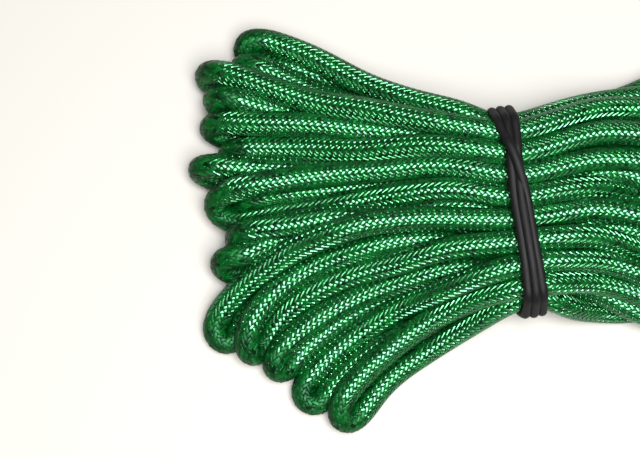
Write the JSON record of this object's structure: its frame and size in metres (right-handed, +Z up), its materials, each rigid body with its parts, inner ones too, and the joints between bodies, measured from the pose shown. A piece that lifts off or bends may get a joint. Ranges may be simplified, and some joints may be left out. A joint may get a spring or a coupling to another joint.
{
  "type": "hank of accessory cord",
  "caption": "Flat hank of thin green braided cord, folded to and fro so that its bights fan out at both ends, held at its waist by a black rubber band.",
  "frame": {"origin": "middle of the whole part's bounding box, on the surface that it lies on", "axes": "+X along the hank towards the free ends of the cord; +Y across it; +Z up from the surface that it lies on"},
  "size_m": [0.1274, 0.0652, 0.0182],
  "materials": {
    "sheath_yarn": "tightly braided nylon yarn, bright green with a silky shine",
    "core_yarn": "twisted white nylon yarn",
    "melted_nylon": "nylon melted together, dark and glossy",
    "band_rubber": "black rubber with a dusty, dull shine"
  },
  "bodies": {
    "hank": {"cord_hank": "sheath_yarn", "tail_a_sheath": "sheath_yarn", "tail_a_core_strand_1": "core_yarn", "tail_a_core_strand_2": "core_yarn", "tail_a_core_strand_3": "core_yarn", "tail_a_core_strand_4": "core_yarn", "tail_a_core_strand_5": "core_yarn", "tail_a_core_strand_6": "core_yarn", "tail_a_core_strand_7": "core_yarn", "tail_a_melted_tip": "melted_nylon", "tail_b_sheath": "sheath_yarn", "tail_b_core_strand_1": "core_yarn", "tail_b_core_strand_2": "core_yarn", "tail_b_core_strand_3": "core_yarn", "tail_b_core_strand_4": "core_yarn", "tail_b_core_strand_5": "core_yarn", "tail_b_core_strand_6": "core_yarn", "tail_b_core_strand_7": "core_yarn", "tail_b_melted_tip": "melted_nylon"},
    "band": {"rubber_band": "band_rubber"}
  },
  "joints": [
    {"name": "band_slide", "type": "slide", "parent": "hank", "child": "band", "axis": [1, 0, 0], "range_m": [-0.0015, 0.0015]}
  ]
}
